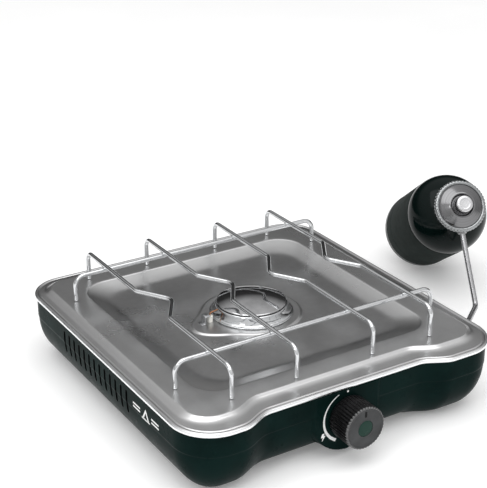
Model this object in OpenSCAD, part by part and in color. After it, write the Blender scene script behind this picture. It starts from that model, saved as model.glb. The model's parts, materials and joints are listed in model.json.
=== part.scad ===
// Single-burner camping stove with a screw-on gas cylinder, all dimensions in millimetres.
// Origin: on the table, under the middle of the burner. +X right, +Y to the back, +Z up.
// Plan-shaped pieces are lofts of one outline; round pieces are revolved; rods are bent wire.

/* [Body] */
// Width of the stove over its rolled rim
stove_w = 374; // [366:1:382]
// Distance from the burner's centre to the back of the rim
rim_back = 189; // [186:1:194]
// Distance from the burner's centre to the middle of the front rim
rim_front = 187; // [185:0.5:189]
// How far the two front corners stand out past the middle of the front
corner_bulge = 13; // [9:1:16]
// Sideways place of the knob and of the front's wave
front_x = -6; // [-8:1:0]
// Radius of the front corners in plan
front_corner_r = 44; // [40:1:48]
// Radius of the back corners in plan
back_corner_r = 40; // [36:1:44]
// Height of the middle of the rolled rim above the table
rim_z = 77; // [76:0.5:78]
// Radius of the rolled rim
bead_r = 2.7; // [2.3:0.1:3]
// Thickness of the tub's wall
tub_wall = 1.5; // [1.2:0.1:2]

/* [Pan] */
// Height of the flat land that the grate stands on
land_z = 84; // [83:0.5:85]
// Height of the pan's sunk floor
pan_floor_z = 76.8; // [76:0.2:78]
// Thickness of the pan's sheet
pan_sheet = 1.2; // [0.8:0.1:1.5]

/* [Grate] */
// Radius of the grate's wire
wire_r = 2.5; // [2:0.1:3]
// Height of the four long wires' centreline
bar_z = 117.4; // [114:0.2:120]
// Height of the two cross wires' centreline
cross_z = 112.7; // [109.5:0.1:115]
// Sideways place of the outer long wires
bar_outer_x = 120; // [112:1:124]
// Sideways place of the inner long wires
bar_inner_x = 46; // [40:1:52]
// Distance from the middle to each end of the long wires
bar_half = 156; // [150:1:158]
// Distance from the middle to each end of the cross wires
cross_half = 156.4; // [150:0.2:158]
// Distance from the middle to each cross wire
cross_y = 112; // [100:1:120]
// How far each long wire kinks towards the middle
kink = 23; // [16:1:26]

/* [Burner] */
// Outer radius of the burner's chrome skirt
skirt_r = 46; // [44:0.5:48]
// Radius of the burner cap
cap_r = 38.6; // [37:0.2:40]
// Height of the domed top of the cap over its edge
cap_dome = 7; // [5:0.5:9]

/* [Knob] */
// Height of the knob's axis above the table
knob_z = 45.5; // [44:0.5:47]
// Radius of the knob over its ribs
knob_r = 22.9; // [21:0.1:24]
// Length of the knob from its open end to its face
knob_len = 29; // [26:1:32]
// Number of ribs round the knob
knob_ribs = 40; // [30:2:48]
// Turn of the knob from off to its lowest flame setting, in degrees
knob_turn = 150; // [120:5:160]

/* [Gas cylinder] */
// Radius of the gas cylinder
bottle_r = 49; // [47:0.5:49.5]
// Length of the cylinder's straight part
bottle_len = 123; // [110:1:124]
// Height of the cylinder's dome
dome_h = 41; // [38:0.5:42]
// Tilt of the cylinder's axis from upright, in degrees
bottle_tilt = 58.5; // [56:0.5:60]
// Turn of the cylinder's axis about +Z, in degrees
bottle_turn = -113.7; // [-116:0.1:-112]
// Radius of the regulator over its crimped ring
regulator_r = 31.5; // [30:0.5:33]
// Radius of the outlet pipe
pipe_r = 3.2; // [3:0.1:3.5]

/* [Hidden] */
$fn = 64;

half_w = stove_w / 2;
corner_n = 6;                 // steps in each rounded corner
side_n = 9;                   // more points along each straight side of the pan
nose = 22;                    // the pressed pad reaches this much further at the electrode
nose_turn = 187;              // and points this way
wave_in = 88;                 // the wave starts this far from the knob's line
wave_out = 126;               // and ends this far from it
rail_in = 84;                 // the underside drops to its side rails from here outwards
rail_drop = 2.4;
tub_top = 75;                 // the tub's edge ends inside the rolled rim
tub_inset = 2.6;
crease_z = 52;
tub_floor = 4.6;
under_r = 34;                 // width of the rounding under the tub
panel_y = -186.6;             // face of the knob panel
panel_r = 39;                 // half width of the knob panel, and radius of its round lower end
foot_inset = 49;              // from the rim to each rubber foot's centre
foot_y = [-152, 139];
slot_count = 13;
slot_pitch = 12.2;
slot_top = 66.6;
slot_len = 26;
slot_w = 4;
slot_back = 11;               // the row of slots sits this far behind the burner
inlet_y = -112;
inlet_z = 44;
inlet_x = 187.2;
stem_r = 3;
cam_y = -173;                 // middle of the ignition cam
cam_r = 9;
cam_rise = 4;
cam_gap = 0.6;
valve_front = -163.5;
valve_back = -126;
valve_r = 11;
tube_mouth = -122;
tube_r = 12;
bowl_r = 32;
bowl_bottom = 30;
seat_z = pan_floor_z + 1.6;   // top of the pressed pad under the burner
cap_z = seat_z + 12;          // underside of the cap
bend_steps = 5;
rod_sides = 12;
steel = [0.72, 0.73, 0.74];
brass = [0.78, 0.62, 0.32];
tub_green = [0.09, 0.15, 0.15];
bottle_axis_foot = [315.5, 49.4, 106.6];
pipe_start = [299.7, 13.5, 130.7];
pipe_bend = [284.5, -47.7, 29.4];
pipe_turn = [207, inlet_y, inlet_z];
pipe_end = [190, inlet_y, inlet_z];

// ---------- helpers ----------

function smooth(t) = t <= 0 ? 0 : t >= 1 ? 1 : (1 - cos(180 * t)) / 2;
function wave(x) = smooth((abs(x - front_x) - wave_in) / (wave_out - wave_in));
function arc(cx, cy, r, a0) =
    [for (i = [0:corner_n]) [cx + r * cos(a0 + 90 * i / corner_n),
                             cy + r * sin(a0 + 90 * i / corner_n)]];

// stations along the front edge, from left to right
panel_stations = [45, 42, 39, 36, 31, 23, 12];
front_stations = concat(
    [for (i = [0:6]) front_x - wave_out + (wave_out - wave_in) * i / 6],
    [for (x = panel_stations) front_x - x], [front_x],
    [for (i = [len(panel_stations) - 1:-1:0]) front_x + panel_stations[i]],
    [for (i = [0:6]) front_x + wave_in + (wave_out - wave_in) * i / 6]);

// n points spaced evenly between a and b
function between(a, b, n) = n < 1 ? [] : [for (i = [1:n]) a + (b - a) * i / (n + 1)];

// Plan outline, inset by d all round and by a further e at the front. Corners keep at least
// radius r_min, w scales the front's wave, and each straight side gets n more points.
function outline(d, e = 0, r_min = 2, w = 1, n = 0) =
    let (rf = max(front_corner_r - d, r_min),
         rb = max(back_corner_r - d, r_min),
         squeeze = (half_w - d - rf) / (half_w - front_corner_r),
         yf = -rim_front + d + e,
         yc = yf - w * corner_bulge + rf,
         yb = rim_back - d - rb,
         xf = half_w - d - rf,
         xb = half_w - d - rb)
    concat([for (x = front_stations) [x * squeeze, yf - w * corner_bulge * wave(x)]],
           arc(xf, yc, rf, -90), between([xf + rf, yc], [xb + rb, yb], n),
           arc(xb, yb, rb, 0), between([xb, yb + rb], [-xb, yb + rb], n),
           arc(-xb, yb, rb, 90), between([-xb - rb, yb], [-xf - rf, yc], n),
           arc(-xf, yc, rf, 180));

// half width of the knob panel at height z
function panel_half(z) =
    z >= knob_z ? panel_r : sqrt(max(0, pow(panel_r, 2) - pow(knob_z - z, 2)));

// y of a front point after the knob panel, here at height z, has pushed it out; t is the depth
// into the wall
function with_panel(p, z, t) =
    let (share = smooth((panel_half(z) - abs(p.x - front_x)) / 4 + 0.5)
             * smooth((tub_top - z) / 3) * (z > knob_z - panel_r ? 1 : 0))
    p.y < panel_y + 80 ? p.y + share * (min(p.y, panel_y + t) - p.y) : p.y;

// one ring of the pan
function pan_ring(d, z, e = 0, r_min = 2, w = 1) =
    [for (p = outline(d, e, r_min, w, side_n)) [p.x, p.y, z]];

// one ring round the burner: radius r, drawn out by nose towards the electrode
function burner_ring(r, nose, z) =
    [for (p = outline(64, 4.6, 30, 0, side_n))
        let (a = atan2(p.y, p.x), far = r + nose * pow(max(0, cos(a - nose_turn)), 12))
        [far * cos(a), far * sin(a), z]];

// one ring of the tub; k lowers the side rails of the underside, t is the depth into the wall,
// and rise is how far a ring inside the wall stands over the outer ring that it follows
function tub_ring(d, z, k = 0, t = 0, rise = 0) =
    [for (p = outline(d)) [p.x, with_panel(p, z, t),
        z + rise - k * rail_drop * smooth((abs(p.x - front_x) - rail_in) / 10)]];

// closed ring-shaped solid: the last ring joins the first again
module loop_loft(rings) {
    n = len(rings[0]);
    count = len(rings);
    polyhedron(
        points = [for (r = rings) for (p = r) p],
        faces = [for (j = [0:count - 1]) for (i = [0:n - 1]) for (half = [0, 1])
            let (a = j * n + i, b = (j + 1) % count * n + i,
                 c = (j + 1) % count * n + (i + 1) % n, d = j * n + (i + 1) % n)
            half == 0 ? [a, b, c] : [a, c, d]]);
}

// middle of a ring's box
function middle(ring) =
    [for (k = [0:2]) let (s = [for (p = ring) p[k]]) (min(s) + max(s)) / 2];

// closed solid through rings that run from the lower cap, outwards and up, to the upper cap;
// each cap fans out from its middle. From ring fold on, quads split along their other
// diagonal, so an inner wall follows its outer.
module loft(rings, fold = 1000) {
    n = len(rings[0]);
    last = len(rings) - 1;
    low = (last + 1) * n;
    polyhedron(
        points = concat([for (r = rings) for (p = r) p], [middle(rings[0]), middle(rings[last])]),
        faces = concat(
            [for (i = [0:n - 1]) [low, i, (i + 1) % n]],
            [for (j = [0:last - 1]) for (i = [0:n - 1]) for (half = [0, 1])
                let (a = j * n + i, b = (j + 1) * n + i,
                     c = (j + 1) * n + (i + 1) % n, d = j * n + (i + 1) % n)
                j < fold ? (half == 0 ? [a, b, c] : [a, c, d]) : (half == 0 ? [a, b, d] : [b, c, d])],
            [for (i = [0:n - 1]) [low + 1, last * n + (i + 1) % n, last * n + i]]));
}

// puts +Z along v at point p
module along(p, v) {
    translate(p) rotate([0, acos(v.z / norm(v)), atan2(v.y, v.x)]) children();
}

function unit(v) = v / norm(v);
function turn_at(p, i) = acos(unit(p[i] - p[i - 1]) * unit(p[i + 1] - p[i]));

// [point, direction] pairs round the bend of radius r at inner point i
function bend(p, i, r) =
    let (u = unit(p[i] - p[i - 1]),
         v = unit(p[i + 1] - p[i]),
         side = unit(v - u * (u * v)),
         turn = turn_at(p, i),
         c = p[i] - u * r * tan(turn / 2) + side * r)
    [for (k = [0:bend_steps]) let (a = turn * k / bend_steps)
        [c + r * (u * sin(a) - side * cos(a)), u * cos(a) + side * sin(a)]];

// the side vector of each station, carried along with no twist
function carried(path, n, i = 0) =
    i == len(path) ? [] :
    let (t = path[i][1], m = unit(n - t * (n * t))) concat([m], carried(path, m, i + 1));

// rod of radius rod_r through points p, with bend radius r[i] at each inner point
module bent_rod(p, r, rod_r) {
    last = len(p) - 1;
    path = concat(
        [[p[0], unit(p[1] - p[0])]],
        [for (i = [1:last - 1]) each bend(p, i, r[i - 1])],
        [[p[last], unit(p[last] - p[last - 1])]]);
    first = path[0][1];
    sides = carried(path, cross(first, abs(first.z) > 0.7 ? [1, 0, 0] : [0, 0, 1]));
    loft([for (i = [0:len(path) - 1])
        let (t = path[i][1], n = sides[i], b = cross(t, n))
        [for (k = [0:rod_sides - 1]) let (a = (k + 0.5) * 360 / rod_sides)
            path[i][0] + rod_r * (n * cos(a) + b * sin(a))]]);
}

// cylinder along +Y from y0 to y1, on the knob's axis
module on_stem(y0, y1, r, fn = 64) {
    translate([front_x, y0, knob_z]) rotate([-90, 0, 0]) cylinder(r = r, h = y1 - y0, $fn = fn);
}

// cylinder along +X from x0 to x1 on the gas inlet's axis
module on_inlet(x0, x1, r, fn = 64) {
    translate([x0, inlet_y, inlet_z]) rotate([0, 90, 0]) cylinder(r = r, h = x1 - x0, $fn = fn);
}

// children drawn upright, moved on to the gas cylinder's tilted axis
module on_bottle(t = 0) {
    translate(bottle_axis_foot) rotate([0, bottle_tilt, bottle_turn]) translate([0, 0, t]) children();
}

module tube(r_out, r_in, h) {
    difference() {
        cylinder(r = r_out, h = h);
        translate([0, 0, -1]) cylinder(r = r_in, h = h + 2);
    }
}

// ---------- tub and pan ----------

// rounding of the underside at depth t into the wall, at angles a from the side
function under_rings(t, angles) =
    [for (a = angles)
        tub_ring(tub_inset + 0.7 + under_r * (1 - cos(a)) + t * cos(a),
                 tub_floor + (crease_z - 0.5 - tub_floor) * (1 - sin(a)),
                 smooth((a - 40) / 45), t, t * sin(a))];

module vent_slots() {
    for (side = [-1, 1])
        for (i = [0:slot_count - 1])
            translate([side * (half_w - 5), (i - (slot_count - 1) / 2) * slot_pitch + slot_back,
                       slot_top - slot_len / 2])
                cube([14, slot_w, slot_len], center = true);
}

module at_feet() {
    for (side = [-1, 1])
        for (y = foot_y)
            translate([side * (half_w - foot_inset), y, 0]) children();
}

module base_tub() {
    inner = tub_inset + tub_wall;
    outside = concat(
        [tub_ring(75, tub_floor), tub_ring(62, tub_floor, 1)],
        under_rings(0, [90:-15:0]),
        [tub_ring(tub_inset, crease_z + 1), tub_ring(tub_inset, tub_top - 3),
         tub_ring(tub_inset, tub_top)]);
    inside = concat(
        [tub_ring(inner, tub_top, 0, tub_wall), tub_ring(inner, tub_top - 3, 0, tub_wall),
         tub_ring(inner, crease_z + 1, 0, tub_wall)],
        under_rings(tub_wall, [0:15:90]),
        [tub_ring(62, tub_floor, 1, 0, tub_wall), tub_ring(75, tub_floor, 0, 0, tub_wall)]);
    color(tub_green) difference() {
        loft(concat(outside, inside), len(outside));
        on_stem(-200, -150, 4.6);
        on_inlet(150, 200, 7.7);
        vent_slots();
        for (s = [-1, 1]) translate([0, s * 45, -1]) cylinder(r = 2.1, h = 12);
        at_feet() cylinder(r = 2.6, h = 12);
    }
}

module rubber_feet() {
    color([0.08, 0.08, 0.08]) at_feet() {
        cylinder(r = 9, h = 2);
        cylinder(r = 2.5, h = 7);
    }
}

// section of the pan from the rolled rim inwards: [inset, height over the land, extra inset
// at the front, least corner radius, share of the wave]
pan_top = [
    [6.2, -4.6, 0, 2, 1], [8.4, -4.2, 6, 2, 1], [12, -2.8, 8, 10, 1],
    [18, -0.3, 6.2, 18, 1], [21, 0, 5, 20, 1], [44, 0, 2, 30, 0], [48, -1.4, 2.6, 30, 0],
    [55, -6, 4, 30, 0], [60, -7.1, 4.4, 30, 0], [64, -7.2, 4.6, 30, 0]];
bead_turns = [-150, -100, -50, 0, 50, 100, 150];

module top_pan() {
    flip = [for (i = [len(pan_top) - 1:-1:0]) pan_top[i]];
    color([0.62, 0.63, 0.64]) loop_loft(concat(
        [burner_ring(33, 0, seat_z - pan_sheet), burner_ring(52, nose, seat_z - pan_sheet),
         burner_ring(56, nose, land_z - 7.2 - pan_sheet)],
        [for (s = flip) pan_ring(s[0], land_z + s[1] - pan_sheet, s[2], s[3], s[4])],
        [for (a = bead_turns) pan_ring(bead_r * (1 - cos(a)), rim_z + bead_r * sin(a))],
        [for (s = pan_top) pan_ring(s[0], land_z + s[1], s[2], s[3], s[4])],
        [burner_ring(56, nose, land_z - 7.2), burner_ring(52, nose, seat_z),
         burner_ring(33, 0, seat_z)]));
}

// ---------- burner ----------

module burner_bowl() {
    color([0.66, 0.66, 0.64]) difference() {
        union() {
            translate([0, 0, bowl_bottom]) cylinder(r = bowl_r, h = seat_z + 1.8 - bowl_bottom);
            translate([0, 0, seat_z + 0.1]) cylinder(r = 40, h = 1.7);
        }
        translate([0, 0, bowl_bottom + 3]) cylinder(r = bowl_r - 3, h = 60);
        translate([0, 0, bowl_bottom - 1]) cylinder(r = 2.6, h = 6);
        translate([front_x, -40, knob_z]) rotate([-90, 0, 0]) cylinder(r = tube_r + 0.02, h = 30);
    }
}

module mixing_tube() {
    color(steel) difference() {
        union() {
            on_stem(tube_mouth, -24, tube_r);
            on_stem(tube_mouth, tube_mouth + 4, tube_r + 3);
        }
        on_stem(tube_mouth - 1, -20, tube_r - 1.2);
        for (a = [0, 90, 180, 270])
            translate([front_x, tube_mouth + 16, knob_z]) rotate([0, a, 0]) cylinder(r = 4, h = 20);
    }
}

module air_shutter() {
    color(steel) difference() {
        on_stem(tube_mouth + 8, tube_mouth + 24, tube_r + 1.2);
        on_stem(tube_mouth + 7, tube_mouth + 25, tube_r + 0.02);
        for (a = [20, 110, 200, 290])
            translate([front_x, tube_mouth + 16, knob_z]) rotate([0, a, 0]) cylinder(r = 4, h = 20);
    }
}

module burner_skirt() {
    lip = 0.9;
    color([0.85, 0.86, 0.88]) translate([0, 0, seat_z]) union() {
        rotate_extrude() translate([skirt_r - lip, lip + 0.1]) circle(r = lip, $fn = 24);
        rotate_extrude() polygon([
            [skirt_r - 2.4, 0.4], [skirt_r - 0.9, 0.6], [skirt_r - 2.6, 2.4], [skirt_r - 4.6, 5.2],
            [skirt_r - 6.4, 8.4], [skirt_r - 7.8, 10.6], [skirt_r - 8.8, 10.6], [skirt_r - 7.6, 8.2],
            [skirt_r - 5.8, 5], [skirt_r - 3.8, 2.2]]);
    }
}

module port_ring() {
    color([0.6, 0.6, 0.6]) difference() {
        translate([0, 0, seat_z + 1.9]) tube(36.8, 33, 10);
        for (i = [0:29]) rotate([0, 0, i * 12])
            translate([30, -0.9, cap_z - 1.8]) cube([10, 1.8, 3]);
    }
}

module burner_cap() {
    ball_r = (cap_r * cap_r + cap_dome * cap_dome) / (2 * cap_dome);
    color([0.12, 0.12, 0.13]) translate([0, 0, cap_z]) union() {
        cylinder(r = cap_r, h = 1.2, $fn = 96);
        intersection() {
            translate([0, 0, 1.2 + cap_dome - ball_r]) sphere(r = ball_r, $fn = 96);
            translate([0, 0, 1.1]) cylinder(r = cap_r, h = cap_dome + 2);
        }
    }
}

module cap_stud() {
    color(steel) translate([0, 0, 22]) cylinder(r = 2.5, h = cap_z - 22);
}

module cap_nut() {
    color(steel) translate([0, 0, 24]) difference() {
        cylinder(r = 5, h = 4, $fn = 6);
        translate([0, 0, -1]) cylinder(r = 2.52, h = 6);
    }
}

module burner_bracket() {
    color(steel) difference() {
        union() {
            translate([-15, -37.5, 28.2]) cube([30, 75, 1.5]);
            for (s = [-1, 1]) {
                translate([-15, s > 0 ? 36 : -37.5, 6.3]) cube([30, 1.5, 23.4]);
                translate([-15, s > 0 ? 36 : -54, 6.3]) cube([30, 18, 1.5]);
            }
        }
        translate([0, 0, 20]) cylinder(r = 2.6, h = 20);
        for (s = [-1, 1]) translate([0, s * 45, -1]) cylinder(r = 2.1, h = 20);
    }
}

module bracket_screws() {
    color(steel) for (s = [-1, 1]) translate([0, s * 45, 2.6]) {
        cylinder(r = 3.8, h = 1.8);
        cylinder(r = 2, h = 8);
    }
}

// ---------- igniter ----------

module electrode_guard() {
    color(steel) translate([-60, -4, seat_z + 0.1]) {
        cube([1, 9, 9.5]);
        translate([0, 0, 8.5]) cube([6.5, 9, 1]);
        translate([-5, 0, 0]) cube([6, 9, 1]);
    }
}

module electrode_ceramic() {
    color([0.92, 0.9, 0.86]) translate([-51, 2, 60]) difference() {
        cylinder(r = 3.2, h = 25);
        translate([0, 0, -1]) cylinder(r = 0.85, h = 30);
    }
}

module electrode_tip() {
    color([0.55, 0.4, 0.3])
        bent_rod([[-51, 2, 62], [-51, 2, cap_z - 2], [-41.4, 1.6, cap_z - 0.2]], [2], 0.8);
}

module ignition_lead() {
    color("black")
        bent_rod([[50.6, cam_y, knob_z], [66, cam_y, knob_z], [66, -148, 16], [-51, 2, 14],
                  [-51, 2, 59.7]], [6, 6, 6], 1.5);
}

module piezo_module() {
    color([0.15, 0.15, 0.16]) translate([18.3, cam_y, knob_z]) rotate([0, 90, 0]) difference() {
        cylinder(r = 7, h = 32);
        translate([0, 0, -1]) cylinder(r = 3.08, h = 24);
    }
}

module piezo_plunger() {
    tip = front_x + cam_r + cam_gap;
    color("white") translate([tip, cam_y, knob_z]) rotate([0, 90, 0]) cylinder(r = 3, h = 30);
}

// ---------- valve and gas inlet ----------

module valve_body() {
    color(brass) difference() {
        union() {
            on_stem(valve_front, valve_back, valve_r);
            on_stem(valve_front - 5.5, valve_front + 1, 7);
            translate([front_x, -140, knob_z]) rotate([0, 90, 0]) cylinder(r = 6, h = 21);
        }
        on_stem(valve_front - 6, valve_front + 16, stem_r + 0.06);
        on_stem(valve_back - 8, valve_back + 1, 2.52);
        translate([front_x + 14, -140, knob_z]) rotate([0, 90, 0]) cylinder(r = 3.02, h = 10);
    }
}

module valve_jet() {
    color(brass) difference() {
        union() {
            on_stem(valve_back - 7, valve_back + 4, 2.5);
            on_stem(valve_back + 0.1, valve_back + 4, 4.5, 6);
            on_stem(valve_back + 3.9, valve_back + 7, 2.2);
        }
        on_stem(valve_back - 8, valve_back + 8, 0.6);
    }
}

module valve_nut() {
    color(steel) difference() {
        on_stem(valve_front - 5.4, valve_front - 1.6, 10.5, 6);
        on_stem(valve_front - 6, valve_front, 7.02);
    }
}

module valve_bracket() {
    color(steel) difference() {
        union() {
            translate([front_x - 24, valve_front - 1.5, knob_z - 17]) cube([48, 1.4, 34]);
            for (s = [-1, 1]) {
                translate([s > 0 ? front_x + 22.5 : front_x - 24, panel_y + 1.6, knob_z - 17])
                    cube([1.5, valve_front - panel_y - 1.7, 34]);
                translate([s > 0 ? front_x + 22.5 : front_x - 33, panel_y + 1.6, knob_z - 8])
                    cube([10.5, 1.5, 16]);
            }
        }
        on_stem(valve_front - 6, valve_front + 3, 7.03);
        translate([0, cam_y, knob_z]) rotate([0, 90, 0]) cylinder(r = 3.5, h = 30);
        for (s = [-1, 1]) translate([front_x + s * 29, panel_y - 1, knob_z]) rotate([-90, 0, 0])
            cylinder(r = 1.6, h = 8);
    }
}

module bracket_rivets() {
    color(steel) for (s = [-1, 1])
        translate([front_x + s * 29, panel_y + 1.6, knob_z]) rotate([-90, 0, 0]) {
            cylinder(r = 1.55, h = 3);
            translate([0, 0, 1.6]) cylinder(r = 3, h = 1.2);
        }
}

module inlet_fitting() {
    color(brass) difference() {
        union() {
            on_inlet(inlet_x - 29, inlet_x, 7.5);
            on_inlet(inlet_x - 2.6, inlet_x, 11);
            on_inlet(inlet_x - 36, inlet_x - 28, 5.5);
        }
        on_inlet(inlet_x - 24, inlet_x + 1, 4);
        on_inlet(inlet_x - 40, inlet_x - 28, 3.02);
    }
}

module inlet_nut() {
    color(brass) difference() {
        on_inlet(inlet_x - 14.4, inlet_x - 9, 11, 6);
        on_inlet(inlet_x - 16, inlet_x - 8, 7.52);
    }
}

module gas_tube() {
    color([0.75, 0.45, 0.3])
        bent_rod([[inlet_x - 30, inlet_y, inlet_z], [64, inlet_y, inlet_z],
                  [64, -140, knob_z], [front_x + 15, -140, knob_z]], [10, 10], 3);
}

module gas_tube_nuts() {
    color(brass) difference() {
        union() {
            on_inlet(inlet_x - 47, inlet_x - 36.2, 7, 6);
            translate([front_x + 21.2, -140, knob_z]) rotate([0, 90, 0]) cylinder(r = 7, h = 10, $fn = 6);
        }
        on_inlet(inlet_x - 50, inlet_x - 30, 3.02);
        translate([front_x + 15, -140, knob_z]) rotate([0, 90, 0]) cylinder(r = 3.02, h = 30);
    }
}

// ---------- knob ----------

knob_back = panel_y - 1.5;
knob_face = knob_back - knob_len;

module knob_body() {
    color([0.1, 0.1, 0.1]) difference() {
        translate([front_x, knob_back, knob_z]) rotate([90, 0, 0]) linear_extrude(knob_len)
            polygon([for (i = [0:2 * knob_ribs - 1])
                (knob_r - (i % 2) * 0.9) * [cos(i * 180 / knob_ribs), sin(i * 180 / knob_ribs)]]);
        difference() {
            on_stem(knob_face + 4, knob_back + 1, knob_r - 4);
            on_stem(knob_face + 3, knob_back - 4, 6);
        }
        on_stem(knob_face + 6, knob_back + 1, stem_r + 0.02);
        on_stem(knob_face - 1, knob_face + 1.2, 8.6);
        translate([front_x - 1.2, knob_face - 1, knob_z + 15.5]) cube([2.4, 1.6, 4.5]);
    }
}

module knob_insert() {
    color(tub_green) on_stem(knob_face + 0.2, knob_face + 1.15, 8.5);
}

module knob_clip() {
    color(steel) difference() {
        on_stem(knob_face + 12, knob_face + 16, 6.8);
        on_stem(knob_face + 11, knob_face + 17, 6.02);
    }
}

module valve_stem() {
    color(brass) on_stem(knob_face + 6.5, valve_front + 14, stem_r);
}

// A spiral cam: its radius grows evenly with the knob's turn, so it pushes the plunger evenly
module ignition_cam() {
    fall = 60;
    steps = 36;
    function r_at(a) = a <= knob_turn ? cam_r + cam_rise * a / knob_turn
        : a <= knob_turn + fall ? cam_r + cam_rise * (knob_turn + fall - a) / fall : cam_r;
    color([0.9, 0.9, 0.88]) difference() {
        translate([front_x, cam_y + 2, knob_z]) rotate([90, 0, 0]) linear_extrude(4)
            polygon([for (i = [0:steps - 1]) let (a = 360 * (steps - i) / steps % 360)
                r_at(a) * [cos(-a), sin(-a)]]);
        on_stem(cam_y - 3, cam_y + 3, stem_r + 0.02);
    }
}

// ---------- grate ----------

// long wire at x: two legs and a kink of depth k towards the middle
module long_bar(x, k) {
    foot = land_z + 0.3;
    reach = 37;
    color([0.8, 0.81, 0.82]) bent_rod(
        [[x, -bar_half, foot], [x, -bar_half, bar_z], [x, -reach, bar_z], [x + k, 0, bar_z],
         [x, reach, bar_z], [x, bar_half, bar_z], [x, bar_half, foot]],
        [10, 8, 12, 8, 10], wire_r);
}

module cross_bar(y) {
    foot = land_z + 0.3;
    color([0.8, 0.81, 0.82]) bent_rod(
        [[-cross_half, y, foot], [-cross_half, y, cross_z], [cross_half, y, cross_z],
         [cross_half, y, foot]], [12, 12], wire_r);
}

module grate_bar_left() { long_bar(-bar_outer_x, kink); }
module grate_bar_mid_left() { long_bar(-bar_inner_x, kink); }
module grate_bar_mid_right() { long_bar(bar_inner_x, -kink); }
module grate_bar_right() { long_bar(bar_outer_x, -kink); }
module grate_cross_front() { cross_bar(-cross_y); }
module grate_cross_back() { cross_bar(cross_y); }

// ---------- regulator ----------

module outlet_pipe() {
    v = unit(pipe_bend - pipe_start);
    color([0.45, 0.45, 0.46])
        bent_rod([pipe_start + v * 20, pipe_bend, pipe_turn, pipe_end], [9, 12], pipe_r);
}

module outlet_plug() {
    color(brass) difference() {
        union() {
            on_inlet(inlet_x + 0.6, pipe_end.x + 9, 8.5);
            on_inlet(inlet_x - 21, inlet_x + 1, 3.93);
        }
        on_inlet(pipe_end.x - 0.5, pipe_end.x + 20, pipe_r + 0.02);
        on_inlet(inlet_x - 22, pipe_end.x, 1.8);
        difference() {
            on_inlet(inlet_x - 16, inlet_x - 14, 4.5);
            on_inlet(inlet_x - 17, inlet_x - 13, 2.6);
        }
    }
}

module outlet_seal() {
    color("black") translate([inlet_x - 15, inlet_y, inlet_z]) rotate([0, 90, 0])
        rotate_extrude() translate([3.28, 0]) circle(r = 0.66, $fn = 24);
}

module regulator_base() {
    v = unit(pipe_bend - pipe_start);
    color([0.55, 0.55, 0.56]) difference() {
        union() {
            on_bottle(41) cylinder(r = 17, h = 7);
            on_bottle(47) cylinder(r = 27, h = 7);
            on_bottle(53) cylinder(r = 28.4, h = 4);
            along(pipe_start + v * 16, v) cylinder(r = 5.5, h = 16);
        }
        on_bottle(40) cylinder(r = 12.66, h = 6.6);
        on_bottle(45) cylinder(r = 1.62, h = 20);
        on_bottle(55) cylinder(r = 22, h = 4);
        along(pipe_start + v * 19.5, v) cylinder(r = pipe_r + 0.02, h = 20);
    }
}

module crimp_ring() {
    color(steel) on_bottle(0) rotate_extrude() polygon([
        [28.45, 52.8], [regulator_r - 1, 52.8], [regulator_r, 54], [regulator_r, 58],
        [regulator_r - 0.8, 59.4], [28.6, 60], [26.6, 59.4], [26.6, 58.5], [28.45, 58.5]]);
}

module regulator_cover() {
    color(steel) on_bottle(0) rotate_extrude() polygon([
        [28.4, 57.1], [28.4, 58.4], [26.4, 58.5], [25.6, 60], [15, 66.6], [13.4, 66.6],
        [12.4, 63], [10.1, 63], [10.1, 61.8], [13.2, 61.8], [14.2, 65.2], [24.6, 58.8], [25, 57.1]]);
}

module regulator_cap() {
    color([0.85, 0.85, 0.86]) on_bottle(0) rotate_extrude() polygon([
        [0, 62], [10, 62], [10, 76], [9, 77], [0, 77]]);
}

module diaphragm() {
    color("black") on_bottle(56.1) cylinder(r = 21.6, h = 0.8);
}

// coil spring: a round wire swept round a helix
module regulator_spring() {
    turns = 3;
    steps = 18;
    coil_r = 7;
    wire = 0.35;
    sides = 6;
    low = 57.4;
    rise = 3.9;
    count = turns * steps;
    points = [for (j = [0:count]) let (a = j * 360 / steps) for (i = [0:sides - 1])
        let (b = i * 360 / sides, r = coil_r + wire * cos(b))
        [r * cos(a), r * sin(a), low + rise * j / count + wire * sin(b)]];
    color(steel) on_bottle(0) polyhedron(points, concat(
        [[for (i = [0:sides - 1]) i]],
        [for (j = [0:count - 1]) for (i = [0:sides - 1])
            [j * sides + i, (j + 1) * sides + i, (j + 1) * sides + (i + 1) % sides]],
        [for (j = [0:count - 1]) for (i = [0:sides - 1])
            [j * sides + i, (j + 1) * sides + (i + 1) % sides, j * sides + (i + 1) % sides]],
        [[for (i = [sides - 1:-1:0]) count * sides + i]]));
}

module valve_pin() {
    color(brass) on_bottle(46.9) cylinder(r = 1.5, h = 9);
}

// ---------- gas cylinder ----------

module cylinder_dome() {
    wall = 1.5;
    top = 74;
    color([0.04, 0.07, 0.07]) on_bottle(0) rotate_extrude() polygon(concat(
        [for (a = [0:top / 12:top]) [bottle_r * cos(a), dome_h * sin(a)]],
        [for (a = [top:-top / 12:0]) [(bottle_r - wall) * cos(a), (dome_h - wall) * sin(a)]]));
}

module cylinder_body() {
    shell_r = bottle_r - 0.5;
    foot_r = 12;
    color([0.1, 0.12, 0.12]) on_bottle(-bottle_len + 2) rotate_extrude() polygon(concat(
        [[0, 3], [shell_r - foot_r - 6, 0.4]],
        [for (a = [-90:15:0]) [shell_r - foot_r + foot_r * cos(a), foot_r + foot_r * sin(a)]],
        [[shell_r, bottle_len - 2.1], [shell_r - 1.2, bottle_len - 2.1]],
        [for (a = [0:-15:-90])
            [shell_r - foot_r + (foot_r - 1.2) * cos(a), foot_r + (foot_r - 1.2) * sin(a)]],
        [[shell_r - foot_r - 6, 1.6], [0, 4.2]]));
}

module cylinder_sleeve() {
    color([0.16, 0.19, 0.19]) on_bottle(-bottle_len + 16)
        tube(bottle_r - 0.1, bottle_r - 0.48, bottle_len - 20);
}

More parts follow.
